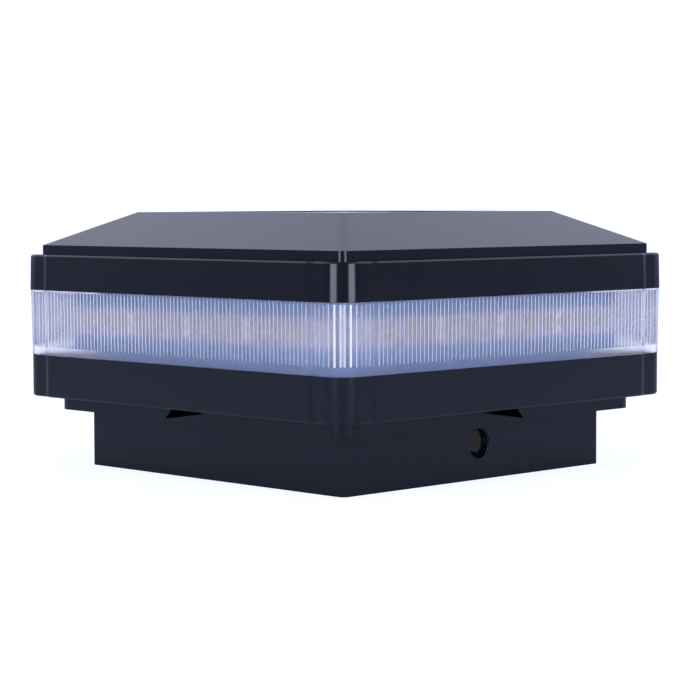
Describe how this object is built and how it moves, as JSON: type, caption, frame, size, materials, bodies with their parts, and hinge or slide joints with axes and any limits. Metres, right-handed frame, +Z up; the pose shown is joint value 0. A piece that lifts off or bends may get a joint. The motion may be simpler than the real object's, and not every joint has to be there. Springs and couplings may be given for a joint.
{
  "type": "deck post cap light",
  "caption": "Square cap light for a wooden deck post: skirt that slips over the post, clear ribbed lens band with a light strip inside, and a low pyramid roof with a solar panel.",
  "frame": {"origin": "centre of the skirt's lower edge, on the post's axis", "axes": "+Z up along the post's axis; +X towards the skirt wall that has the set screw hole"},
  "size_m": [0.1226, 0.1226, 0.0672],
  "materials": {
    "black_shell": "moulded black plastic, semi-gloss",
    "clear_lens": "clear moulded plastic",
    "seal_rubber": "soft black rubber",
    "board_green": "circuit board with solder mask",
    "cell_blue": "dark blue solar cells",
    "core_white": "satin white reflector plastic",
    "strip_white": "white flexible strip",
    "chip_yellow": "yellow phosphor in a white frame",
    "component_black": "black moulded component",
    "capacitor_can": "bare can",
    "connector_white": "moulded nylon",
    "knob_white": "moulded knob",
    "inner_black": "moulded black plastic, matte",
    "cell_wrap": "shrink-wrapped can",
    "contact_steel": "nickel-plated strip",
    "screw_steel": "plated steel"
  },
  "bodies": {
    "housing": {"post_skirt": "black_shell", "base_plate": "black_shell", "lower_housing": "black_shell", "lower_lens_seal": "seal_rubber", "lens_ring": "clear_lens", "upper_lens_seal": "seal_rubber", "upper_housing": "black_shell", "roof_seal": "seal_rubber", "roof_cap": "black_shell", "panel_seal": "seal_rubber", "panel_board": "board_green", "solar_cells": "cell_blue", "panel_cover": "clear_lens", "led_core": "core_white", "led_strip": "strip_white", "led_chips": "chip_yellow", "strip_resistors": "component_black", "battery_tray": "inner_black", "battery_cell": "cell_wrap", "battery_spring_contact": "contact_steel", "battery_plate_contact": "contact_steel", "switch_body": "component_black", "control_board": "board_green", "control_chip": "component_black", "power_inductor": "component_black", "smoothing_capacitor": "capacitor_can", "board_connectors": "connector_white", "base_screws": "screw_steel", "housing_screws": "screw_steel", "board_screws": "screw_steel", "tray_screws": "screw_steel"},
    "switch_slider": {"switch_knob": "knob_white"},
    "door": {"battery_door": "inner_black", "door_seal": "seal_rubber", "door_screws": "screw_steel"}
  },
  "joints": [
    {"name": "switch_slide", "type": "slide", "parent": "housing", "child": "switch_slider", "axis": [1, 0, 0], "range_m": [0, 0.004]},
    {"name": "battery_door_slide", "type": "slide", "parent": "housing", "child": "door", "axis": [0, 0, -1], "range_m": [0, 0.025]}
  ]
}
